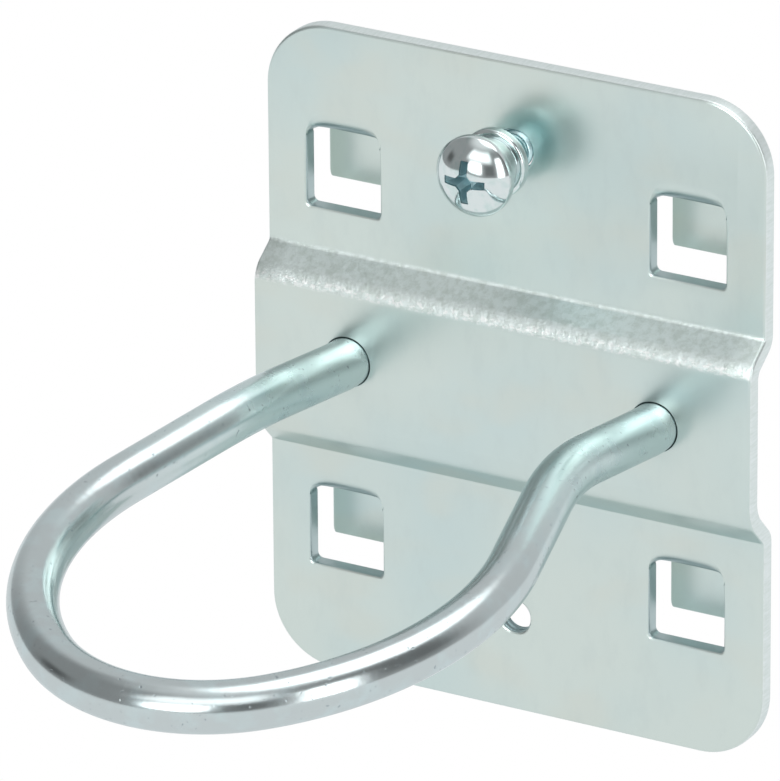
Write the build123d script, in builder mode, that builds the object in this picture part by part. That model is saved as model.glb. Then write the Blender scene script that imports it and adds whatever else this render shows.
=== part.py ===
from build123d import *
import math
import os

# Frame: X to the right as seen from the front, Y into the wall, Z up, all in millimetres.
# The origin is the centre of the sheet's rear plane, which lies against the panel.

# Perforated panel that the holder is made for
panel_pitch = 38.0
panel_slot = 3.0

# Folded sheet
sheet = 1.5
plate_width = 55.0
plate_height = 68.0
plate_corner = 7.0
band_offset = 3.0
band_half = 8.5
slope_rise = 2.1
bend_inner = 0.5
band_inner = 1.0

# Windows and the hooks lanced out of them
window_width = 8.2
window_drop = 4.0
window_corner = 0.6
hook_root = 4.3
hook_fall = 18.0
hook_short = 1.5
hook_corner = 0.8

# Round wire
wire_dia = 5.0
wire_hole_gap = 0.2
leg_half = 17.0
leg_height = 0.7
leg_start = 0.6
leg_bend = 8.0
leg_rise = 7.2
leg_reach = 18.4
knee_bend = 29.0
loop_fall = 8.2
flare = 14.0
flare_reach = 17.2
side_bend = 30.0
side_turn = 49.2
upset_dia = 7.6
upset_height = 1.5

# Screw
shank_dia = 4.0
thread_gap = 0.05
screw_edge = 9.0
spare_edge = 10.0
collar_dia = 7.0
collar_run = 1.3
collar_stand = 3.0
neck_dia = 6.0
neck_run = 2.7
head_dia = 8.1
head_height = 3.0
head_rim = 0.9
tip_back = 0.3
tip_chamfer = 0.4
recess_span = 4.5
recess_arm = 1.0
recess_core = 1.9
recess_depth = 2.0
recess_taper = 7.0
recess_lead = 0.2

# Sizes that follow from the ones above
wire_radius = wire_dia / 2
wire_hole = wire_radius + wire_hole_gap
screw_hole = shank_dia / 2 + thread_gap
hook_centre = panel_pitch / 2
slope_angle = math.atan2(band_offset, slope_rise)
fold_shift = sheet * math.tan(slope_angle / 2)
slope_end = band_half + slope_rise
half_height = plate_height / 2
screw_height = half_height - screw_edge
spare_height = spare_edge - half_height
band_front = -sheet - band_offset
hook_turn = math.radians(90.0 - hook_fall)
hook_shift = sheet * math.tan(hook_turn / 2)
hook_drop = (panel_slot + sheet) / math.tan(hook_turn)
window_height = window_drop + hook_root + hook_shift
window_middle = (hook_root + hook_shift - window_drop) / 2
hook_foot = hook_short - window_drop


def near(z):
    """Picks the sketch corners that lie at one height on either side of the middle."""
    return lambda v: abs(abs(v.Y) - z) < 1e-4


def near_point(x, y):
    """Picks the sketch corner that lies at one point."""
    return lambda v: abs(v.X - x) < 1e-4 and abs(v.Y - y) < 1e-4


# Back plate: one folded section run across the width, then trimmed to the rounded outline
front_line = [
    (-sheet, half_height),
    (-sheet, slope_end),
    (band_front, band_half),
    (band_front, -band_half),
    (-sheet, -slope_end),
    (-sheet, -half_height),
]
rear_line = [
    (0, -half_height),
    (0, -slope_end + fold_shift),
    (-band_offset, -band_half + fold_shift),
    (-band_offset, band_half - fold_shift),
    (0, slope_end - fold_shift),
    (0, half_height),
]
hook_line = [
    (-sheet, hook_root + hook_shift + sheet),
    (-sheet, hook_root),
    (panel_slot, hook_root - hook_drop),
    (panel_slot, hook_foot),
    (panel_slot + sheet, hook_foot),
    (panel_slot + sheet, hook_root - hook_drop + hook_shift),
    (0, hook_root + hook_shift),
    (0, hook_root + hook_shift + sheet),
]
hook_places = [(-hook_centre, hook_centre), (hook_centre, hook_centre)]
hook_places += [(-hook_centre, -hook_centre), (hook_centre, -hook_centre)]
hook_planes = [Plane(origin=(x, 0, z), x_dir=(0, 1, 0), z_dir=(1, 0, 0)) for x, z in hook_places]

with BuildPart() as back_plate:
    with BuildSketch(Plane.YZ) as fold_section:
        with BuildLine():
            Polyline(*front_line, *rear_line, close=True)
        make_face()
        fillet(fold_section.vertices().filter_by(near(slope_end)), bend_inner)
        fillet(fold_section.vertices().filter_by(near(band_half)), band_inner + sheet)
        fillet(fold_section.vertices().filter_by(near(slope_end - fold_shift)), bend_inner + sheet)
        fillet(fold_section.vertices().filter_by(near(band_half - fold_shift)), band_inner)
    extrude(amount=plate_width / 2, both=True)
    with BuildSketch(Plane.XZ):
        RectangleRounded(plate_width, plate_height, plate_corner)
    extrude(amount=2 * (sheet + band_offset), both=True, mode=Mode.INTERSECT)
    with BuildSketch(Plane.XZ):
        with Locations(*[(x, z + window_middle) for x, z in hook_places]):
            RectangleRounded(window_width, window_height, window_corner)
        with Locations((-leg_half, leg_height), (leg_half, leg_height)):
            Circle(wire_hole)
        with Locations((0, screw_height), (0, spare_height)):
            Circle(screw_hole)
    extrude(amount=2 * (sheet + band_offset), both=True, mode=Mode.SUBTRACT)
    with BuildSketch(*hook_planes) as hook_section:
        with BuildLine():
            Polyline(*hook_line, close=True)
        make_face()
        fillet(hook_section.vertices().filter_by(near_point(*hook_line[1])), bend_inner + sheet)
        fillet(hook_section.vertices().filter_by(near_point(*hook_line[2])), bend_inner)
        fillet(hook_section.vertices().filter_by(near_point(*hook_line[5])), bend_inner + sheet)
        fillet(hook_section.vertices().filter_by(near_point(*hook_line[6])), bend_inner)
    extrude(amount=window_width / 2, both=True)
    fillet(back_plate.edges().filter_by(Axis.Y).filter_by(lambda e: e.center().Y > panel_slot), hook_corner)
back_plate.part.label = "back_plate"

# Wire loop: one half swept along its own centreline, then mirrored across the middle
rise = math.radians(leg_rise)
fall = math.radians(loop_fall)
turn = math.radians(flare)
side = math.radians(side_turn)
leg_way = Vector(0, -math.cos(rise), math.sin(rise))
loop_way = Vector(math.sin(turn), -math.cos(turn) * math.cos(fall), -math.cos(turn) * math.sin(fall))
knee_turn = math.acos(leg_way.dot(loop_way))
knee_tangent = knee_bend * math.tan(knee_turn / 2)
lift_out = leg_start + leg_bend * math.sin(rise)
lift_up = leg_bend * (1 - math.cos(rise))
leg_run = (leg_reach - lift_out) / math.cos(rise) - knee_tangent
leg_out = lift_out + leg_run * math.cos(rise)
leg_up = lift_up + leg_run * math.sin(rise)
knee_start = Vector(leg_half, band_front - leg_out, leg_height + leg_up)
knee_end = knee_start + (leg_way + loop_way) * knee_tangent
flare_run = flare_reach - knee_tangent
run_in = flare_run * math.sin(turn)
run_far = flare_run * math.cos(turn)
wide = run_in + side_bend * (1 - math.cos(turn))
wide_far = run_far + side_bend * math.sin(turn)
side_in = wide - side_bend * (1 - math.cos(side))
side_far = wide_far + side_bend * math.sin(side)
nose_bend = (knee_end.X + side_in) / math.cos(side)
nose_far = side_far + nose_bend * (1 - math.sin(side))
nose_mid = (side + math.pi / 2) / 2

leg_plane = Plane(origin=(leg_half, band_front, leg_height), x_dir=(0, -1, 0), z_dir=(-1, 0, 0))
knee_plane = Plane(origin=knee_start, x_dir=leg_way, z_dir=leg_way.cross(loop_way))
loop_plane = Plane(origin=knee_end, x_dir=(1, 0, 0), z_dir=(0, math.sin(fall), -math.cos(fall)))
upset_plane = Plane(origin=(leg_half, -band_offset, leg_height), x_dir=(1, 0, 0), z_dir=(0, 1, 0))

with BuildPart() as wire_loop:
    with BuildLine(leg_plane) as leg_line:
        Line((-sheet, 0), (leg_start, 0))
        ThreePointArc(
            (leg_start, 0),
            (leg_start + leg_bend * math.sin(rise / 2), leg_bend * (1 - math.cos(rise / 2))),
            (lift_out, lift_up),
        )
        Line((lift_out, lift_up), (leg_out, leg_up))
    with BuildLine(knee_plane) as knee_line:
        ThreePointArc(
            (0, 0),
            (knee_bend * math.sin(knee_turn / 2), knee_bend * (1 - math.cos(knee_turn / 2))),
            (knee_bend * math.sin(knee_turn), knee_bend * (1 - math.cos(knee_turn))),
        )
    with BuildLine(loop_plane) as loop_line:
        Line((0, 0), (run_in, run_far))
        ThreePointArc((run_in, run_far), (wide, wide_far), (side_in, side_far))
        ThreePointArc(
            (side_in, side_far),
            (
                side_in + nose_bend * (math.cos(nose_mid) - math.cos(side)),
                side_far + nose_bend * (math.sin(nose_mid) - math.sin(side)),
            ),
            (-knee_end.X, nose_far),
        )
    with BuildSketch(upset_plane):
        Circle(wire_radius)
    sweep()
    with BuildSketch(upset_plane):
        Circle(upset_dia / 2)
    extrude(amount=upset_height)
    mirror(about=Plane.YZ)
wire_loop.part.label = "wire_loop"

# Screw: turned profile about its own axis, seen as radius against distance in front of the sheet
tip_front = -sheet + tip_back
collar_front = collar_stand + collar_run
head_back = collar_front + neck_run
screw_plane = Plane(origin=(0, -sheet, screw_height), x_dir=(1, 0, 0), z_dir=(0, 0, -1))
head_top = -sheet - head_back - head_height
recess_plane = Plane(origin=(0, head_top - recess_lead, screw_height), x_dir=(1, 0, 0), z_dir=(0, 1, 0))

with BuildPart() as clamp_screw:
    with BuildSketch(screw_plane):
        with BuildLine():
            Polyline(
                (0, tip_front),
                (shank_dia / 2 - tip_chamfer, tip_front),
                (shank_dia / 2, tip_front + tip_chamfer),
                (shank_dia / 2, collar_stand),
                (collar_dia / 2, collar_stand),
                (collar_dia / 2, collar_front),
                (neck_dia / 2, collar_front),
                (neck_dia / 2, head_back),
                (head_dia / 2, head_back),
                (head_dia / 2, head_back + head_rim),
            )
            ThreePointArc(
                (head_dia / 2, head_back + head_rim),
                (0.36 * head_dia, head_back + head_rim + 0.62 * (head_height - head_rim)),
                (0, head_back + head_height),
            )
            Line((0, head_back + head_height), (0, tip_front))
        make_face()
    revolve(axis=Axis((0, 0, screw_height), (0, 1, 0)))
    with BuildSketch(recess_plane):
        Rectangle(recess_span, recess_arm)
    extrude(amount=recess_lead + recess_depth, taper=recess_taper, mode=Mode.SUBTRACT)
    with BuildSketch(recess_plane):
        Rectangle(recess_arm, recess_span)
    extrude(amount=recess_lead + recess_depth, taper=recess_taper, mode=Mode.SUBTRACT)
    with BuildSketch(recess_plane):
        Rectangle(recess_core, recess_core, rotation=45)
    extrude(amount=recess_lead + recess_depth, taper=recess_taper, mode=Mode.SUBTRACT)
clamp_screw.part.label = "clamp_screw"

os.makedirs("parts", exist_ok=True)
export_step(back_plate.part, "parts/back_plate.step")
export_step(wire_loop.part, "parts/wire_loop.step")
export_step(clamp_screw.part, "parts/clamp_screw.step")
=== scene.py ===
import math

import bmesh
import bpy
from mathutils import Matrix, Vector


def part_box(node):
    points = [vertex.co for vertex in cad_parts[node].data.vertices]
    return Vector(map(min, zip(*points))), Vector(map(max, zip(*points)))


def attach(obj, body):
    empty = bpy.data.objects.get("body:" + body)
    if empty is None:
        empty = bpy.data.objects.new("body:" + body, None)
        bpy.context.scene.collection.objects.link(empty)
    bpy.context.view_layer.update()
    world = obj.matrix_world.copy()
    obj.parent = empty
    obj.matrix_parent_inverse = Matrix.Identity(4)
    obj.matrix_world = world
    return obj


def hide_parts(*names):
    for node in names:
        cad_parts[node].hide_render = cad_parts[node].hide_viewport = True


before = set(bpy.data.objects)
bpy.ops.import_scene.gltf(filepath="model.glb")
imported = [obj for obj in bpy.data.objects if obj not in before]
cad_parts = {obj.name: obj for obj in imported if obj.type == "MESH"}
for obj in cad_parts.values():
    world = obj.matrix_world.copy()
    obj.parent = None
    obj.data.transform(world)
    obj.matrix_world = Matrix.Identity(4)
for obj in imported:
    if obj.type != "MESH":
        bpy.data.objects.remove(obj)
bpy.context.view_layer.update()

# Frame: X to the right as seen from the front, Y into the wall, Z up, in metres
MM = 0.001

# Folded sheet: its outline, its band and its folds; the lower slope starts higher up and bends more gently
sheet = 1.5 * MM
plate_corner = 7.0 * MM
band_offset = 3.0 * MM
band_half = 8.5 * MM
band_low = 7.5 * MM
slope_rise = 2.1 * MM
bend_inner = 0.5 * MM
band_inner = 1.0 * MM
low_fold = 4.0 * MM
plate_low, plate_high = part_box("back_plate")
plate_width = plate_high.x - plate_low.x
plate_height = plate_high.z - plate_low.z
slope_end = band_half + slope_rise

# Windows and the hooks that are lanced out of them
hook_centre = 19.0 * MM
window_width = 8.2 * MM
window_drop = 4.0 * MM
window_corner = 0.6 * MM
panel_slot = 3.0 * MM
hook_root = 4.3 * MM
hook_turn = math.radians(72)
hook_short = 1.5 * MM
hook_corner = 0.8 * MM
hook_half = window_width / 2
hook_places = [(x, z) for z in (hook_centre, -hook_centre) for x in (-hook_centre, hook_centre)]

# Root of a hook: a bend that is wide in the middle and tight at the window's walls, with sunk corners
root_middle = 2.5 * MM
root_end = 0.3 * MM
root_corner = 0.9 * MM
root_tangent = math.tan(hook_turn / 2)
root_low = hook_root - root_corner + root_end * root_tangent
root_sides = (-hook_half, hook_half)
root_ends = [Vector((x + side, -sheet, z + root_low)) for x, z in hook_places for side in root_sides]

# Edges of the punched sheet: rolled over at the front, by a smaller share on the hooks,
# nearly sharp around the wire, and fading out toward the ends of a hook's root
front_roll = 0.34 * MM
hook_roll = 0.35
wire_hole_roll = 0.08 * MM
wire_hole_rim = 0.5 * MM
root_clear = 0.6 * MM
root_fade = 1.2 * MM

# Round wire
wire_radius = 2.5 * MM
wire_hole = 2.57 * MM
leg_half = 17.0 * MM
leg_height = 0.7 * MM
leg_start = 0.6 * MM
leg_bend = 8.0 * MM
leg_rise = math.radians(7.2)
leg_reach = 18.4 * MM
knee_bend = 29.0 * MM
loop_fall = math.radians(8.2)
flare = math.radians(14.0)
flare_reach = 17.2 * MM
side_bend = 30.0 * MM
side_turn = math.radians(49.2)
upset_radius = 3.8 * MM
upset_height = 1.5 * MM
upset_round = 0.5 * MM

# Screw and its holes, with distances in front of the sheet
screw_low, screw_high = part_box("clamp_screw")
screw_height = (screw_low.z + screw_high.z) / 2
spare_height = -24.0 * MM
screw_hole = 2.05 * MM
spare_hole = 1.65 * MM
shank_radius = 2.0 * MM
tip_back = 0.3 * MM
tip_chamfer = 0.4 * MM
collar_radius = 3.5 * MM
collar_stand = 3.0 * MM
collar_front = 4.3 * MM
collar_round = 0.4 * MM
neck_radius = 3.0 * MM
head_back = 7.0 * MM
head_radius = (screw_high.x - screw_low.x) / 2
head_rim = 0.9 * MM
head_round = 0.18 * MM
head_top = -screw_low.y - sheet

# Thread: its pitch, depth and end, how steep its flanks are and how broad its crests
thread_pitch = 0.7 * MM
thread_depth = 0.38 * MM
thread_end = 0.3 * MM
thread_flank = 2.6
thread_crest = 0.15

# Dome of the head: an arc whose centre lies beside the axis and behind the top, up to a small flat;
# it falls away about as the square of the distance from the axis
dome_out = 0.11 * head_radius
dome_behind = 1.0165 * head_radius
dome_flat = 0.3 * MM
dome_fall = 0.082 / MM

# Cross recess: its bars start in front of the head and have their full span a little deeper
recess_span = 4.5 * MM
recess_arm = 1.0 * MM
recess_core = 1.9 * MM
recess_depth = 2.0 * MM
recess_lead = 0.5 * MM
recess_full = 0.7 * MM
recess_taper = math.radians(7)
recess_slant = math.radians(20)

# Modelling: what counts as the same place, as straight, as smooth and as a sharp edge
same_place = 0.02 * MM
hair = 0.01 * MM
merge_gap = 0.001 * MM
mirror_gap = 0.005 * MM
nearly_straight = 0.99
smooth_angle = math.radians(32)
sharp_angle = math.radians(50)
upright = (math.radians(90), 0, 0)
quarter = math.pi / 2

# Cells of flat sheet that are opened for the holes, in radii, and around the windows
hole_cell = 1.8
window_cell = 1.2 * MM

# How finely round shapes are divided
plate_corner_steps = 20
small_corner_steps = 6
hole_sides = 64
wall_cuts = 15
fold_steps = 10
roll_steps = 4
hook_columns = 24
root_steps = 10
web_steps = 6
web_even_row = 3
heel_steps = 6
wire_sides = 64
leg_bend_steps = 4
leg_steps = 8
knee_steps = 14
flare_steps = 8
side_steps = 40
nose_steps = 22
screw_sides = 96
thread_rings = 84
rounding_steps = 6
head_round_steps = 5
dome_steps = 32

# Where the finish changes: each pair gives the places at which a change begins and is complete
# The upper slope, which carries its marks and a painted sheen
upper_slope_from = (band_half - 1.2 * MM, band_half - 0.6 * MM)
upper_slope_to = (slope_end + 0.1 * MM, slope_end + 0.5 * MM)
# The crest at the band's top, which carries painted glints
crest_from = (band_half - 1.15 * MM, band_half - 0.75 * MM)
crest_to = (band_half - 0.35 * MM, band_half + 0.1 * MM)
# Painted shade at the roots of the hooks
root_shade_from = (-1.40 * MM, -0.95 * MM)
root_shade_to = (-0.30 * MM, -0.05 * MM)
past_slopes = (11.8 * MM, 12.4 * MM)
outer_sides = (24.5 * MM, 25.5 * MM)
outer_ends = (28.0 * MM, 30.0 * MM)
past_tapped_wall = (spare_hole + 0.02 * MM, spare_hole + 0.10 * MM)
toward_nose = (24.0 * MM, 46.0 * MM)
# The recess of the screw, which is duller and carries painted shade
below_dome = (0.08 * MM, 0.22 * MM)
past_recess = (2.5 * MM, 2.7 * MM)
into_head = (head_back, head_back + 0.4 * MM)
# Behind the collar, where the screw is duller and carries painted light
into_collar = (collar_stand + 0.1 * MM, collar_stand + 0.5 * MM)

# Camera, as fitted to the photograph's windows and edges
image_long_side = 781
camera_azimuth = math.radians(29.91)
camera_elevation = math.radians(22.67)
camera_roll = math.radians(0.44)
camera_distance = 1003.0 * MM
camera_side = -12.80 * MM
camera_lift = -0.45 * MM
focal_pixels = 10321
sensor_side = 36.0
clip_near = 50.0 * MM
clip_far = 20.0

# Floor, well below the holder
floor_size = 8.0
floor_drop = 120.0 * MM

# Studio, in degrees to the right of straight ahead and above eye level: lights, and dark gaps between them
studio_lights = [
    # left, right, low, high, soft edge, level
    (-15, 13, 5, 28, 6, 5.2),
    (-26, 44, 33, 58, 8, 1.9),
    (58, 74, -5, 40, 5, 4.0),
    (24, 48, 2, 26, 5, 0.20),
    (78, 112, 12, 50, 8, 0.20),
    (-82, -62, 6, 22, 6, 0.13),
]
room_level = 0.36
ceiling_level = 0.54
ceiling_from = (math.radians(52), math.radians(76))
rear_level = 0.40
rear_from = (math.radians(100), math.radians(135))
overhead_way = Vector((0.14, 0.24, 0.96)).normalized()
overhead_rim = (math.cos(math.radians(27)), math.cos(math.radians(21)))
overhead_level = 2.2

# Places of the colour sockets on a Mix node, which come after those for numbers and vectors
MIX_SHARE = 0
MIX_FIRST = 6
MIX_SECOND = 7
MIX_RESULT = 2


class Field:
    """A shader socket on which plain arithmetic adds Math nodes."""

    def __init__(self, finish, socket):
        self.finish = finish
        self.socket = socket

    def math(self, operation, *values):
        return self.finish.node("ShaderNodeMath", {"operation": operation}, dict(enumerate(values)))

    def __add__(self, other):
        return self.math("ADD", self, other)

    def __radd__(self, other):
        return self.math("ADD", other, self)

    def __sub__(self, other):
        return self.math("SUBTRACT", self, other)

    def __rsub__(self, other):
        return self.math("SUBTRACT", other, self)

    def __mul__(self, other):
        return self.math("MULTIPLY", self, other)

    def __rmul__(self, other):
        return self.math("MULTIPLY", other, self)

    def __truediv__(self, other):
        return self.math("DIVIDE", self, other)

    def __pow__(self, other):
        return self.math("POWER", self, other)

    def __abs__(self):
        return self.math("ABSOLUTE", self)


class Finish:
    """A node tree that is written as expressions."""

    def __init__(self, owner):
        owner.use_nodes = True
        self.tree = owner.node_tree
        self.tree.nodes.clear()

    def node(self, kind, settings=None, inputs=None, output=0):
        """Adds a node, sets it up and gives its sockets their values or links."""
        made = self.tree.nodes.new(kind)
        for name, value in (settings or {}).items():
            setattr(made, name, value)
        for name, value in (inputs or {}).items():
            if isinstance(value, Field):
                self.tree.links.new(value.socket, made.inputs[name])
            else:
                made.inputs[name].default_value = value
        return Field(self, made.outputs[output]) if made.outputs else None

    def place(self):
        """The point on the piece, in metres in the shared frame."""
        return self.node("ShaderNodeTexCoord", output="Object")

    def parts(self, vector):
        """The X, Y and Z of a point."""
        split = self.node("ShaderNodeSeparateXYZ", inputs={0: vector})
        return [Field(self, socket) for socket in split.socket.node.outputs]

    def noise(self, vector, size, finer=None, detail=2.0, roughness=0.5):
        """Soft noise whose patches are about one size across, or some times finer along each axis."""
        if finer is not None:
            vector = self.node("ShaderNodeMapping", inputs={"Vector": vector, "Scale": finer})
        inputs = {"Vector": vector, "Scale": 1 / size, "Detail": detail, "Roughness": roughness}
        return self.node("ShaderNodeTexNoise", inputs=inputs)

    def ramp(self, value, low, high):
        """0 up to low, 1 from high on, and a smooth rise between."""
        inputs = {"Value": value, "From Min": low, "From Max": high}
        return self.node("ShaderNodeMapRange", {"interpolation_type": "SMOOTHSTEP"}, inputs)

    def between(self, value, rise, fall):
        """1 between a smooth rise and a smooth fall, and 0 outside them."""
        return self.ramp(value, *rise) * (1 - self.ramp(value, *fall))

    def mix(self, share, first, second):
        """A colour between two others."""
        inputs = {MIX_SHARE: share, MIX_FIRST: first, MIX_SECOND: second}
        return self.node("ShaderNodeMix", {"data_type": "RGBA"}, inputs, MIX_RESULT)

    def bump(self, height, depth, strength=1.0, under=None):
        """A normal that follows a height from 0 to 1, which stands for a depth in metres."""
        inputs = {"Height": height, "Distance": depth, "Strength": strength}
        if under is not None:
            inputs["Normal"] = under
        return self.node("ShaderNodeBump", inputs=inputs)

    def surface(self, shader):
        self.node("ShaderNodeOutputMaterial", inputs={"Surface": shader})


def opaque(*colour):
    return (*colour, 1.0)


# Colours of the sheet, from its faces to its cut edges, with a painted sheen for the upper slope, painted
# glints for its crest, and painted shade for the walls inside, the spare hole and the bottom of the bends
ZINC = opaque(0.635, 0.72, 0.69)
ZINC_BLUE = opaque(0.585, 0.70, 0.695)
ZINC_WARM = opaque(0.64, 0.695, 0.65)
ZINC_DULL = opaque(0.50, 0.585, 0.58)
ZINC_SLOPE_SHEEN = opaque(0.78, 0.87, 0.86)
ZINC_GLINT = opaque(0.85, 0.89, 0.88)
ZINC_EDGE = opaque(0.84, 0.90, 0.92)
ZINC_WALL_SHADE = opaque(0.46, 0.56, 0.57)
ZINC_SHADE = opaque(0.27, 0.37, 0.38)

# Colours of the wire, with painted shade at its nose, of the screw, with painted shade in its recess and
# painted light behind its collar, of metal seen at a grazing angle and of the floor
WIRE_LEG = opaque(0.64, 0.75, 0.755)
WIRE_NOSE_SHADE = opaque(0.53, 0.59, 0.60)
WIRE_BLUE = opaque(0.56, 0.67, 0.69)
WIRE_DARK = opaque(0.40, 0.46, 0.48)
SCREW_ZINC = opaque(0.67, 0.74, 0.745)
RECESS_SHADE = opaque(0.52, 0.68, 0.71)
REAR_PAINTED_LIGHT = opaque(0.64, 0.86, 0.89)
ZINC_RIM = opaque(0.84, 0.87, 0.88)
FLOOR_GREY = opaque(0.8, 0.8, 0.8)
FLOOR_WHITE = opaque(1.0, 1.0, 1.0)


def metal(finish, colour, roughness, normal):
    """Bare metal whose grazing reflections stay grey, as zinc's do."""
    inputs = {"Base Color": colour, "Roughness": roughness, "Metallic": 1.0, "Normal": normal}
    inputs["Specular Tint"] = ZINC_RIM
    finish.surface(finish.node("ShaderNodeBsdfPrincipled", inputs=inputs))


def zinc_sheet():
    """Satin zinc: faint clouds, fine grain, a marked upper slope that is painted paler as a painted sheen,
    painted glints along its crest, and painted shade at the roots of the hooks.
    """
    material = bpy.data.materials.new("zinc_sheet")
    finish = Finish(material)
    place = finish.place()
    _, depth, height = finish.parts(place)
    clouds = finish.noise(place, size=24 * MM)
    straw = finish.noise(place, size=12 * MM, finer=(1.0, 1.0, 1.7))
    mottle = finish.noise(place, size=2.6 * MM, finer=(1.5, 1.0, 0.7), detail=4.0, roughness=0.6)
    grain = finish.noise(place, size=0.22 * MM, detail=3.0, roughness=0.6)
    hammered = finish.noise(place, size=0.55 * MM, detail=4.0, roughness=0.7)
    patches = finish.noise(place, size=0.9 * MM, detail=4.0, roughness=0.65)
    specks = finish.noise(place, size=0.45 * MM, finer=(0.7, 1.0, 1.0), detail=3.0, roughness=0.65)
    slope = finish.between(height, upper_slope_from, upper_slope_to)
    crest = finish.between(height, crest_from, crest_to)
    root = finish.between(depth, root_shade_from, root_shade_to) * finish.ramp(abs(height), *past_slopes)
    colour = finish.mix(finish.ramp(clouds, low=0.42, high=0.70), ZINC, ZINC_BLUE)
    colour = finish.mix(0.6 * finish.ramp(straw, low=0.48, high=0.70), colour, ZINC_WARM)
    colour = finish.mix(0.16 * finish.ramp(mottle, low=0.45, high=0.75), colour, ZINC_DULL)
    # Painted sheen: the upper slope is painted paler, broken by patches of the plain zinc
    sheen_and_patches = finish.mix(finish.ramp(patches, low=0.38, high=0.66), ZINC_SLOPE_SHEEN, ZINC)
    colour = finish.mix(0.85 * slope, colour, sheen_and_patches)
    # Painted glints: pale specks along the crest at the band's top
    colour = finish.mix(crest * finish.ramp(specks, low=0.48, high=0.60), colour, ZINC_GLINT)
    # Painted shade: the root bends of the hooks are painted dark
    colour = finish.mix(root, colour, ZINC_SHADE)
    fine = finish.bump(grain, depth=0.004 * MM, strength=0.5)
    marked = finish.bump(hammered * slope, depth=0.065 * MM, strength=0.7, under=fine)
    roughness = 0.29 + 0.06 * clouds + 0.08 * slope
    metal(finish, colour, roughness, marked)
    return material


def zinc_cut_edge():
    """The sheared edge of the sheet: fine shear lines, painted shade on the walls inside, and a thread in
    the spare hole, whose wall carries painted shade.
    """
    material = bpy.data.materials.new("zinc_cut_edge")
    finish = Finish(material)
    place = finish.place()
    x, y, z = finish.parts(place)
    up = z - spare_height
    shear = finish.noise(place, size=0.25 * MM, finer=(1.0, 0.15, 1.0))
    inner = (1 - finish.ramp(abs(x), *outer_sides)) * (1 - finish.ramp(abs(z), *outer_ends))
    tapped = 1 - finish.ramp((x ** 2 + up ** 2) ** 0.5, *past_tapped_wall)
    turns = y / thread_pitch + x.math("ARCTAN2", up, x) / (2 * math.pi)
    ridge = abs(turns.math("FRACT", turns) - 0.5) * 2
    colour = finish.mix(shear, ZINC_EDGE, ZINC)
    # Painted shade: the walls of the windows and holes are painted darker than the outer edges
    colour = finish.mix(inner, colour, ZINC_WALL_SHADE)
    # Painted shade: the wall of the spare hole is painted dark
    colour = finish.mix(tapped, colour, ZINC_SHADE)
    sheared = finish.bump(shear, depth=0.02 * MM, strength=0.6)
    threaded = finish.bump(ridge * tapped, depth=0.3 * MM, under=sheared)
    roughness = 0.32 + 0.12 * shear
    metal(finish, colour, roughness, threaded)
    return material


def zinc_wire():
    """Bright drawn wire: faint lines along it, small pits, uneven gloss, and a smoother nose that is painted
    darker as painted shade.
    """
    material = bpy.data.materials.new("zinc_wire")
    finish = Finish(material)
    place = finish.place()
    _, depth, _ = finish.parts(place)
    straight = finish.node("ShaderNodeAttribute", {"attribute_name": "straight_wire"}, output="Vector")
    drawn = finish.noise(straight, size=0.35 * MM, finer=(0.04, 1.0, 1.0))
    patches = finish.noise(place, size=3.0 * MM, detail=3.0)
    pits = finish.ramp(finish.noise(place, size=0.5 * MM, detail=1.0), low=0.70, high=0.76)
    nose = finish.ramp(0 - depth, *toward_nose)
    # Painted shade: the wire is painted darker toward its nose
    colour = finish.mix(nose, WIRE_LEG, WIRE_NOSE_SHADE)
    colour = finish.mix(0.6 * finish.ramp(patches, low=0.45, high=0.70), colour, WIRE_BLUE)
    colour = finish.mix(pits, colour, WIRE_DARK)
    lines = finish.bump(drawn, depth=0.006 * MM, strength=0.5)
    dents = finish.bump(patches, depth=0.05 * MM, strength=0.5, under=lines)
    pitted = finish.bump(1 - pits, depth=0.015 * MM, strength=0.6, under=dents)
    roughness = 0.24 - 0.09 * nose + 0.06 * patches
    metal(finish, colour, roughness, pitted)
    return material


def zinc_screw():
    """Bright plated screw, nearly a mirror; duller in its recess, which carries painted shade, and behind
    its collar, which carries painted light.
    """
    material = bpy.data.materials.new("zinc_screw")
    finish = Finish(material)
    place = finish.place()
    x, y, z = finish.parts(place)
    out = (x ** 2 + (z - screw_height) ** 2) ** 0.5
    forward = -sheet - y
    clouds = finish.noise(place, size=1.2 * MM)
    grain = finish.noise(place, size=0.15 * MM)
    sunk = finish.ramp(head_top - dome_fall * out ** 2 - forward, *below_dome)
    sunk = sunk * (1 - finish.ramp(out, *past_recess)) * finish.ramp(forward, *into_head)
    rear = 1 - finish.ramp(forward, *into_collar)
    colour = finish.mix(finish.ramp(clouds, low=0.45, high=0.70), SCREW_ZINC, ZINC_BLUE)
    # Painted shade: the recess is painted darker and bluer
    colour = finish.mix(sunk, colour, RECESS_SHADE)
    # Painted light: the threaded shank and the collar's rear face are painted paler and bluer
    colour = finish.mix(rear, colour, REAR_PAINTED_LIGHT)
    fine = finish.bump(grain, depth=0.002 * MM, strength=0.4)
    roughness = 0.07 + 0.05 * clouds + 0.50 * sunk + 0.25 * rear
    metal(finish, colour, roughness, fine)
    return material


def limited(value, low=0.0, high=1.0):
    return max(low, min(high, value))


def near(value, target):
    return abs(value - target) < same_place


def middle(item):
    """The middle of a vertex, an edge or a face."""
    if isinstance(item, bmesh.types.BMVert):
        return item.co.copy()
    points = [vertex.co for vertex in item.verts]
    return sum(points, Vector()) / len(points)


def along_x(edge):
    return abs(edge.verts[0].co.x - edge.verts[1].co.x) > nearly_straight * edge.calc_length()


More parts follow.
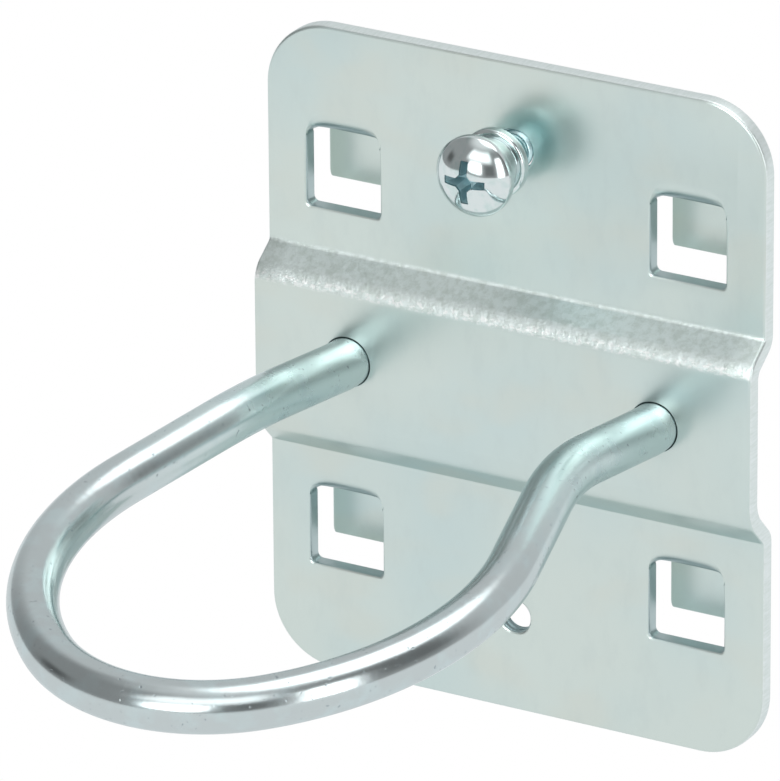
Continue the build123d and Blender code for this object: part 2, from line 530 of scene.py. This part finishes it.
def pick(piece, kind, test):
    """In edit mode, selects only the vertices, edges or faces that pass a test."""
    bpy.ops.mesh.select_mode(type=kind)
    bpy.ops.mesh.select_all(action="DESELECT")
    mesh = bmesh.from_edit_mesh(piece.data)
    for item in {"VERT": mesh.verts, "EDGE": mesh.edges, "FACE": mesh.faces}[kind]:
        if test(item):
            item.select_set(True)
    mesh.select_flush_mode()
    bmesh.update_edit_mesh(piece.data)


def extrude(step):
    """Extrudes what is selected by a step, and leaves the new part selected."""
    bpy.ops.mesh.extrude_region_move(TRANSFORM_OT_translate={"value": step})


def start_piece(name):
    """Names the primitive that was just added, puts its place into its mesh and opens it for editing."""
    piece = bpy.context.object
    piece.name = name
    piece.data.name = name
    bpy.ops.object.transform_apply(location=True, rotation=True, scale=True)
    bpy.ops.object.mode_set(mode="EDIT")
    return piece


def apply_modifier(piece, kind, **settings):
    modifier = piece.modifiers.new(kind.lower(), kind)
    for name, value in settings.items():
        setattr(modifier, name, value)
    bpy.ops.object.modifier_apply(modifier=modifier.name)


def finish_piece(piece, body, node):
    """Closes a piece, smooths its round faces and hands it to the body that carries it."""
    bpy.ops.object.mode_set(mode="EDIT")
    bpy.ops.mesh.select_all(action="SELECT")
    bpy.ops.mesh.remove_doubles(threshold=merge_gap)
    bpy.ops.mesh.normals_make_consistent(inside=False)
    bpy.ops.object.mode_set(mode="OBJECT")
    bpy.ops.object.shade_smooth_by_angle(angle=smooth_angle)
    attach(piece, body)
    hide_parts(node)


def holds(face, x, z):
    """True if a face of the flat sheet lies around a point."""
    xs = [vertex.co.x for vertex in face.verts]
    zs = [vertex.co.z for vertex in face.verts]
    return min(xs) < x < max(xs) and min(zs) < z < max(zs)


def open_cell(plate, x_low, x_high, z_low, z_high):
    """Cuts a rectangular cell into the flat sheet and takes its face out."""
    x, z = (x_low + x_high) / 2, (z_low + z_high) / 2
    lines = [((x_low, 0, z), (1, 0, 0)), ((x_high, 0, z), (1, 0, 0))]
    lines += [((x, 0, z_low), (0, 0, 1)), ((x, 0, z_high), (0, 0, 1))]
    for point, normal in lines:
        pick(plate, "FACE", lambda face: holds(face, x, z))
        bpy.ops.mesh.bisect(plane_co=point, plane_no=normal)
    pick(plate, "FACE", lambda face: holds(face, x, z))
    bpy.ops.mesh.delete(type="ONLY_FACE")


def fill_cell(plate, x_low, x_high, z_low, z_high):
    """Fills the sheet between the rim of a hole and the rim of the cell around it."""
    def in_cell(edge):
        place = middle(edge)
        across = x_low - same_place < place.x < x_high + same_place
        upward = z_low - same_place < place.z < z_high + same_place
        return across and upward and len(edge.link_faces) < 2

    pick(plate, "EDGE", in_cell)
    bpy.ops.mesh.fill(use_beauty=True)


def round_hole(plate, x, z, radius):
    """Punches a round hole into the flat sheet."""
    half = hole_cell * radius
    cell = (x - half, x + half, z - half, z + half)
    open_cell(plate, *cell)
    centre = (x, -sheet, z)
    bpy.ops.mesh.primitive_circle_add(vertices=hole_sides, radius=radius, location=centre, rotation=upright)
    fill_cell(plate, *cell)


def root_bend(x):
    """The radius of a hook's root at a place across it: wide in the middle, tight at the walls."""
    return root_end + (root_middle - root_end) * (1 - (x / hook_half) ** 4)


def root_sink(x):
    """How far a hook's root sinks beside the window's walls, in its rounded corners."""
    inside = max(0.0, abs(x) - hook_half + root_corner)
    return root_corner - math.sqrt(max(0.0, root_corner ** 2 - inside ** 2))


def place_row(plate, place):
    """Sets each selected vertex at the place that belongs to its distance across."""
    mesh = bmesh.from_edit_mesh(plate.data)
    for vertex in mesh.verts:
        if vertex.select:
            vertex.co = place(vertex.co.x)
    bmesh.update_edit_mesh(plate.data)


def next_row(plate, place):
    """Extrudes the selected row of edges and places the new row."""
    extrude((0, bend_inner, 0))
    place_row(plate, place)


def window(plate, x, z):
    """A window with rounded corners and an arched upper edge, from which its hook is bent back."""
    def on_arch(across):
        height = hook_root - root_sink(across) + root_bend(across) * root_tangent
        return Vector((x + across, -sheet, z + height))

    def crowded(across):
        """Moves the evenly spaced columns toward the walls, where the arch is tightest."""
        return hook_half * math.sin((across - x) / hook_half * quarter)

    def on_wall(item):
        return near(abs(middle(item).x - x), hook_half) and not item.link_faces

    low, high, top = z - window_drop, z + root_low, on_arch(0.0).z
    half = hook_half + window_cell
    cell = (x - half, x + half, low - window_cell, top + window_cell)
    open_cell(plate, *cell)
    centre = (x, -sheet, (low + high) / 2)
    bpy.ops.mesh.primitive_plane_add(size=1.0, location=centre, rotation=upright)
    bpy.ops.transform.resize(value=(window_width, 1.0, high - low), center_override=centre)
    bpy.ops.mesh.delete(type="ONLY_FACE")
    pick(plate, "VERT", lambda v: on_wall(v) and near(v.co.z, low))
    bpy.ops.mesh.bevel(offset=window_corner, segments=small_corner_steps, affect="VERTICES")
    pick(plate, "EDGE", on_wall)
    bpy.ops.mesh.subdivide(number_cuts=wall_cuts)
    pick(plate, "EDGE", lambda e: near(middle(e).x, x) and near(middle(e).z, high) and along_x(e))
    bpy.ops.mesh.subdivide(number_cuts=hook_columns - 1)
    place_row(plate, lambda across: on_arch(crowded(across)))
    fill_cell(plate, *cell)


def hook(plate, x, z):
    """Bends a hook back out of a window's upper edge, and then down behind the panel."""
    corner = Vector((0, -sheet, z + hook_root))
    back, down = math.sin(hook_turn), math.cos(hook_turn)
    web = Vector((0, back, -down))
    web_end = (panel_slot + sheet) / back - bend_inner * root_tangent
    root_top = z + hook_root + root_middle * root_tangent

    def in_root(edge):
        inside = len(edge.link_faces) == 1 and abs(middle(edge).x - x) < hook_half - hair / 2
        return inside and z < middle(edge).z < root_top + same_place

    def on_bend(across, angle):
        bend = root_bend(across - x)
        start = corner + Vector((across, 0, bend * root_tangent - root_sink(across - x)))
        return start + bend * Vector((0, 1 - math.cos(angle), -math.sin(angle)))

    def on_web(across, row):
        """A place on the flat web between the two bends, whose columns become even at one row."""
        if row == web_even_row:
            across = x + hook_half * math.asin(limited((across - x) / hook_half, -1.0, 1.0)) / quarter
        share = row / web_steps
        start = root_bend(across - x) * root_tangent
        sunk = corner + Vector((across, 0, -root_sink(across - x) * (1 - share) ** 2))
        return sunk + web * (start + (web_end - start) * share)

    pick(plate, "EDGE", in_root)
    for row in range(1, root_steps + 1):
        next_row(plate, lambda across: on_bend(across, hook_turn * row / root_steps))
    for row in range(1, web_steps + 1):
        next_row(plate, lambda across: on_web(across, row))
    heel_centre = Vector((x, 0, 0)) + corner + web * web_end + Vector((0, -down, -back)) * bend_inner
    bpy.ops.mesh.spin(steps=heel_steps, angle=hook_turn, center=heel_centre, axis=(1, 0, 0))
    foot = z + hook_short - window_drop
    extrude((0, 0, foot - heel_centre.z))
    pick(plate, "VERT", lambda v: near(abs(v.co.x - x), hook_half) and near(v.co.z, foot))
    bpy.ops.mesh.bevel(offset=hook_corner, segments=small_corner_steps, affect="VERTICES")


def fold(plate):
    """Sets the middle band forward and rounds the four folds."""
    for height in (slope_end, band_half, -band_low, -slope_end):
        bpy.ops.mesh.select_all(action="SELECT")
        bpy.ops.mesh.bisect(plane_co=(0, 0, height), plane_no=(0, 0, 1))
    pick(plate, "VERT", lambda v: -band_low - same_place < v.co.z < band_half + same_place)
    bpy.ops.transform.translate(value=(0, -band_offset, 0))
    upper = math.tan(math.atan2(band_offset, slope_end - band_half) / 2)
    lower = math.tan(math.atan2(band_offset, slope_end - band_low) / 2)
    folds = [(slope_end, bend_inner * upper), (band_half, (band_inner + sheet) * upper)]
    folds += [(-band_low, low_fold * lower), (-slope_end, bend_inner * lower)]
    for height, tangent in folds:
        pick(plate, "EDGE", lambda e: near(middle(e).z, height) and along_x(e))
        bpy.ops.mesh.bevel(offset=tangent, segments=fold_steps, affect="EDGES", clamp_overlap=False)


def roll_share(place):
    """How much of the full roll an edge of the front face gets at a place."""
    if math.hypot(abs(place.x) - leg_half, place.z - leg_height) < wire_hole + wire_hole_rim:
        return wire_hole_roll / front_roll
    away = min((place - end).length for end in root_ends)
    share = limited((away - root_clear) / root_fade)
    on_hook = place.y > -sheet + hair
    return hook_roll * share if on_hook else share


def roll_edges(plate, front):
    """Rolls the sheet's edges over on its front face, as the punch leaves them."""
    mesh = bmesh.new()
    mesh.from_mesh(plate.data)
    weight = mesh.edges.layers.float.new("bevel_weight_edge")
    for edge in mesh.edges:
        sharp = edge.is_manifold and edge.calc_face_angle() > sharp_angle
        if sharp and all(vertex.index in front for vertex in edge.verts):
            edge[weight] = roll_share(middle(edge))
    mesh.to_mesh(plate.data)
    mesh.free()
    apply_modifier(
        plate, "BEVEL", width=front_roll, segments=roll_steps, limit_method="WEIGHT",
        use_clamp_overlap=False,
    )


def back_plate(face_zinc, edge_zinc):
    """The sheet, punched flat, folded, its hooks bent back, then given its thickness and rolled edges."""
    bpy.ops.object.select_all(action="DESELECT")
    bpy.ops.mesh.primitive_plane_add(size=1.0, location=(0, -sheet, 0), rotation=upright)
    bpy.ops.transform.resize(value=(plate_width, 1.0, plate_height))
    plate = start_piece("plate")
    pick(plate, "VERT", lambda v: True)
    bpy.ops.mesh.bevel(offset=plate_corner, segments=plate_corner_steps, affect="VERTICES")
    for x, z in hook_places:
        window(plate, x, z)
    for x in (-leg_half, leg_half):
        round_hole(plate, x, leg_height, wire_hole)
    round_hole(plate, 0.0, screw_height, screw_hole)
    round_hole(plate, 0.0, spare_height, spare_hole)
    fold(plate)
    for x, z in hook_places:
        hook(plate, x, z)
    bpy.ops.mesh.select_all(action="SELECT")
    bpy.ops.mesh.normals_make_consistent(inside=False)
    bpy.ops.object.mode_set(mode="OBJECT")
    plate.data.materials.append(face_zinc)
    plate.data.materials.append(edge_zinc)
    rear = plate.vertex_groups.new(name="rear")
    apply_modifier(
        plate, "SOLIDIFY", thickness=sheet, offset=-1.0, use_even_offset=True,
        shell_vertex_group=rear.name, material_offset_rim=1,
    )
    front = {vertex.index for vertex in plate.data.vertices if not vertex.groups}
    roll_edges(plate, front)
    finish_piece(plate, "hook", "back_plate")


class Turner:
    """Turns a piece about an axis that runs forward from the sheet, one ring after another."""

    def __init__(self, name, x, z, sides, radius, distance):
        self.axis = Vector((x, 0, z))
        self.radius = radius
        self.distance = distance
        bpy.ops.object.select_all(action="DESELECT")
        bpy.ops.mesh.primitive_circle_add(
            vertices=sides, radius=radius, location=self.centre(), rotation=upright
        )
        self.piece = start_piece(name)
        bpy.ops.mesh.select_all(action="SELECT")
        bpy.ops.mesh.edge_face_add()
        bpy.ops.mesh.select_mode(type="EDGE")

    def centre(self):
        return self.axis + Vector((0, -sheet - self.distance, 0))

    def to(self, radius, distance):
        """Draws the last ring on to another radius and distance in front of the sheet."""
        extrude((0, self.distance - distance, 0))
        self.distance = distance
        share = radius / self.radius
        bpy.ops.transform.resize(value=(share, 1.0, share), center_override=self.centre())
        self.radius = radius

    def arc(self, radius, distance, bend, start, end, steps):
        """Follows an arc about a point of the profile, from one angle to another above the radius."""
        for i in range(1, steps + 1):
            angle = start + (end - start) * i / steps
            self.to(radius + bend * math.cos(angle), distance + bend * math.sin(angle))


class Bender:
    """Draws the end ring of a tube on along its path, straight or round a bend, as wire is bent."""

    def __init__(self, piece, place, heading):
        self.piece = piece
        self.place = Vector(place)
        self.heading = Vector(heading).normalized()
        self.length = 0.0

    def mark(self):
        """Notes how far along the straight wire the selected ring lies."""
        mesh = bmesh.from_edit_mesh(self.piece.data)
        layer = mesh.verts.layers.float_vector["straight_wire"]
        for vertex in mesh.verts:
            if vertex.select:
                vertex[layer].x = self.length

    def run(self, length, steps=1):
        """Goes straight on."""
        for _ in range(steps):
            extrude(self.heading * length / steps)
            self.length += length / steps
            self.mark()
        self.place += self.heading * length

    def bend(self, radius, angle, axis, steps):
        """Turns the heading by an angle about an axis, right-handed."""
        centre = self.place + axis.cross(self.heading) * radius
        for _ in range(steps):
            bpy.ops.mesh.spin(steps=1, angle=-angle / steps, center=centre, axis=axis)
            self.length += radius * angle / steps
            self.mark()
        turn = Matrix.Rotation(angle, 3, axis)
        self.place = centre + turn @ (self.place - centre)
        self.heading = turn @ self.heading


def note_straight_wire(piece):
    """Keeps each vertex's place on the straight wire: along it, and across its round section."""
    mesh = bmesh.from_edit_mesh(piece.data)
    layer = mesh.verts.layers.float_vector.new("straight_wire")
    for vertex in mesh.verts:
        vertex[layer] = (0.0, vertex.co.x - leg_half, vertex.co.z - leg_height)


def wire_loop(material):
    """Half of the wire, bent from its upset end to the middle of the nose, and its mirror image."""
    rear = band_offset - sheet
    flat = upset_radius - upset_round
    upset = Turner("wire", leg_half, leg_height, wire_sides, flat, rear - upset_height)
    wire = upset.piece
    upset.arc(flat, upset.distance + upset_round, upset_round, -quarter, 0, rounding_steps)
    upset.to(upset_radius, rear)
    upset.to(wire_radius, rear)
    note_straight_wire(wire)
    bender = Bender(wire, upset.centre(), (0, -1, 0))
    rising = Vector((-1, 0, 0))
    leg_way = Vector((0, -math.cos(leg_rise), math.sin(leg_rise)))
    far = Vector((0, -math.cos(loop_fall), -math.sin(loop_fall)))
    loop_way = far * math.cos(flare) + Vector((math.sin(flare), 0, 0))
    turning = Vector((0, math.sin(loop_fall), -math.cos(loop_fall)))
    knee_turn = leg_way.angle(loop_way)
    knee_tangent = knee_bend * math.tan(knee_turn / 2)
    lift_out = leg_start + leg_bend * math.sin(leg_rise)
    bender.run(sheet + leg_start)
    bender.bend(leg_bend, leg_rise, rising, leg_bend_steps)
    bender.run((leg_reach - lift_out) / math.cos(leg_rise) - knee_tangent, leg_steps)
    bender.bend(knee_bend, knee_turn, leg_way.cross(loop_way).normalized(), knee_steps)
    bender.run(flare_reach - knee_tangent, flare_steps)
    bender.bend(side_bend, flare + side_turn, turning, side_steps)
    bender.bend(bender.place.x / math.cos(side_turn), quarter - side_turn, turning, nose_steps)
    bpy.ops.object.mode_set(mode="OBJECT")
    apply_modifier(wire, "MIRROR", merge_threshold=mirror_gap)
    for vertex, note in zip(wire.data.vertices, wire.data.attributes["straight_wire"].data):
        if vertex.co.x < 0:
            note.vector.x = 2 * bender.length - note.vector.x
    wire.data.materials.append(material)
    finish_piece(wire, "hook", "wire_loop")


def cut_thread(piece, start, end):
    """Presses a thread into the shank from its tip to one distance, and leaves it at core size beyond."""
    mesh = bmesh.from_edit_mesh(piece.data)
    for vertex in mesh.verts:
        distance = -sheet - vertex.co.y
        across = Vector((vertex.co.x, 0, vertex.co.z - screw_height))
        on_shank = start - hair < distance < collar_stand - hair
        if on_shank and across.length > shank_radius / 2:
            turn = math.atan2(across.z, across.x) / (2 * math.pi)
            phase = (distance / thread_pitch + turn) % 1.0
            flank = limited(thread_flank * abs(phase - 0.5) - thread_crest)
            fade = limited((end - distance) / thread_pitch)
            radius = min(across.length, shank_radius - thread_depth * (1 - (1 - flank) * fade))
            across *= radius / across.length
            vertex.co = Vector((across.x, vertex.co.y, screw_height + across.z))
    bmesh.update_edit_mesh(piece.data)


def recess_cutter(width, height, turn):
    """One tapered bar of the cross recess, set into the head from the front."""
    reach = recess_depth + recess_lead
    front = -sheet - head_top - recess_lead
    bpy.ops.object.select_all(action="DESELECT")
    bpy.ops.mesh.primitive_cube_add(size=1.0, location=(0, front + reach / 2, screw_height))
    bpy.ops.transform.resize(value=(width, reach, height))
    bar = start_piece("recess_bar")
    pick(bar, "FACE", lambda face: face.normal.y > nearly_straight)
    slants = [recess_slant if side > recess_core else recess_taper for side in (width, height)]
    shares = [1 - 2 * reach * math.tan(slant) / side for slant, side in zip(slants, (width, height))]
    bottom = (0, front + reach, screw_height)
    bpy.ops.transform.resize(value=(shares[0], 1.0, shares[1]), center_override=bottom)
    bpy.ops.object.mode_set(mode="OBJECT")
    bar.data.transform(Matrix.Translation((0, 0, -screw_height)))
    bar.data.transform(Matrix.Rotation(turn, 4, "Y"))
    bar.data.transform(Matrix.Translation((0, 0, screw_height)))
    return bar


def turn_dome(screw):
    """Draws the head on over its dome, from the rim to a small flat that the recess takes away."""
    rim = Vector((head_radius, head_back + head_rim))
    centre = Vector((dome_out, head_top - dome_behind))
    bend = (rim - centre).length
    rim_angle = math.atan2(rim.y - centre.y, rim.x - centre.x)
    top_angle = math.acos((dome_flat - centre.x) / bend)
    screw.to(head_radius, head_back + head_rim)
    screw.arc(centre.x, centre.y, bend, rim_angle, top_angle, dome_steps)
    bpy.ops.mesh.edge_face_add()


def clamp_screw(material):
    """A turned pan-head screw with a short thread, a collar, a neck and a cross recess."""
    tip = tip_back - sheet
    thread_start = tip + tip_chamfer
    screw = Turner("screw", 0.0, screw_height, screw_sides, shank_radius - tip_chamfer, tip)
    screw.to(shank_radius, thread_start)
    for ring in range(1, thread_rings + 1):
        screw.to(shank_radius, thread_start + (collar_stand - thread_start) * ring / thread_rings)
    flat = collar_radius - collar_round
    screw.to(flat, collar_stand)
    screw.arc(flat, collar_stand + collar_round, collar_round, -quarter, 0, rounding_steps)
    screw.to(collar_radius, collar_front - collar_round)
    screw.arc(flat, collar_front - collar_round, collar_round, 0, quarter, rounding_steps)
    screw.to(neck_radius, collar_front)
    screw.to(neck_radius, head_back)
    screw.to(head_radius - head_round, head_back)
    screw.arc(head_radius - head_round, head_back + head_round, head_round, -quarter, 0, head_round_steps)
    turn_dome(screw)
    cut_thread(screw.piece, tip, thread_end)
    bpy.ops.mesh.select_all(action="SELECT")
    bpy.ops.mesh.normals_make_consistent(inside=False)
    bpy.ops.object.mode_set(mode="OBJECT")
    span = recess_span + 2 * recess_full * math.tan(recess_slant)
    bars = [(span, recess_arm, 0), (recess_arm, span, 0), (recess_core, recess_core, quarter / 2)]
    for width, height, turn in bars:
        bar = recess_cutter(width, height, turn)
        bpy.context.view_layer.objects.active = screw.piece
        apply_modifier(screw.piece, "BOOLEAN", operation="DIFFERENCE", solver="EXACT", object=bar)
        bpy.data.objects.remove(bar)
    bpy.ops.object.select_all(action="DESELECT")
    screw.piece.select_set(True)
    screw.piece.data.materials.append(material)
    finish_piece(screw.piece, "screw", "clamp_screw")


def stage():
    """A plain floor well below the holder, white to the eye and in reflections, matt grey to other light."""
    bpy.ops.object.select_all(action="DESELECT")
    bpy.ops.mesh.primitive_plane_add(size=floor_size, location=(0, 0, plate_low.z - floor_drop))
    floor = bpy.context.object
    floor.name = "floor"
    material = bpy.data.materials.new("pale_floor")
    finish = Finish(material)
    path = finish.node("ShaderNodeLightPath")
    rays = {socket.name: Field(finish, socket) for socket in path.socket.node.outputs}
    seen = path.math("MAXIMUM", rays["Is Camera Ray"], rays["Is Glossy Ray"])
    seen = seen.math("MAXIMUM", seen, rays["Is Transmission Ray"])
    matt = finish.node("ShaderNodeBsdfDiffuse", inputs={"Color": FLOOR_GREY})
    white = finish.node("ShaderNodeEmission", inputs={"Color": FLOOR_WHITE, "Strength": 1.0})
    finish.surface(finish.node("ShaderNodeMixShader", inputs={0: seen, 1: matt, 2: white}))
    floor.data.materials.append(material)


def room():
    """A grey studio: a light in front, a wide one above it, a strip to the right and one overhead."""
    world = bpy.data.worlds.new("studio")
    bpy.context.scene.world = world
    finish = Finish(world)
    x, y, z = finish.parts(finish.node("ShaderNodeTexCoord", output="Generated"))
    across = x.math("ARCTAN2", x, 0 - y)
    upward = z.math("ARCSINE", z)

    def soft_band(value, low, high, soft):
        rise = (math.radians(low - soft), math.radians(low + soft))
        fall = (math.radians(high - soft), math.radians(high + soft))
        return finish.between(value, rise, fall)

    light = room_level + ceiling_level * finish.ramp(upward, *ceiling_from)
    light = light + rear_level * finish.ramp(abs(across), *rear_from)
    for left, right, low, high, soft, level in studio_lights:
        patch = soft_band(across, left, right, soft) * soft_band(upward, low, high, soft)
        light = light * (1 - patch) + patch * level
    overhead = x * overhead_way.x + y * overhead_way.y + z * overhead_way.z
    patch = finish.ramp(overhead, *overhead_rim)
    light = light * (1 - patch) + patch * overhead_level
    background = finish.node("ShaderNodeBackground", inputs={"Color": light, "Strength": 1.0})
    finish.node("ShaderNodeOutputWorld", inputs={"Surface": background})


def camera():
    """The photograph's long lens, from the upper right."""
    level, lift = math.cos(camera_elevation), math.sin(camera_elevation)
    aside, ahead = math.sin(camera_azimuth), math.cos(camera_azimuth)
    back = Vector((aside * level, -ahead * level, lift))
    right = Vector((ahead, aside, 0))
    up = back.cross(right)
    place = back * camera_distance + right * camera_side + Vector((0, 0, camera_lift))
    turned_right = right * math.cos(camera_roll) - up * math.sin(camera_roll)
    turned_up = right * math.sin(camera_roll) + up * math.cos(camera_roll)
    lens = bpy.data.cameras.new("camera")
    lens.sensor_width = sensor_side
    lens.lens = focal_pixels * sensor_side / image_long_side
    lens.clip_start = clip_near
    lens.clip_end = clip_far
    viewer = bpy.data.objects.new("camera", lens)
    axes = Matrix((turned_right, turned_up, back)).transposed()
    viewer.matrix_world = Matrix.Translation(place) @ axes.to_4x4()
    bpy.context.scene.collection.objects.link(viewer)
    bpy.context.scene.camera = viewer


bpy.context.scene.view_settings.view_transform = "Standard"
back_plate(zinc_sheet(), zinc_cut_edge())
wire_loop(zinc_wire())
clamp_screw(zinc_screw())
stage()
room()
camera()
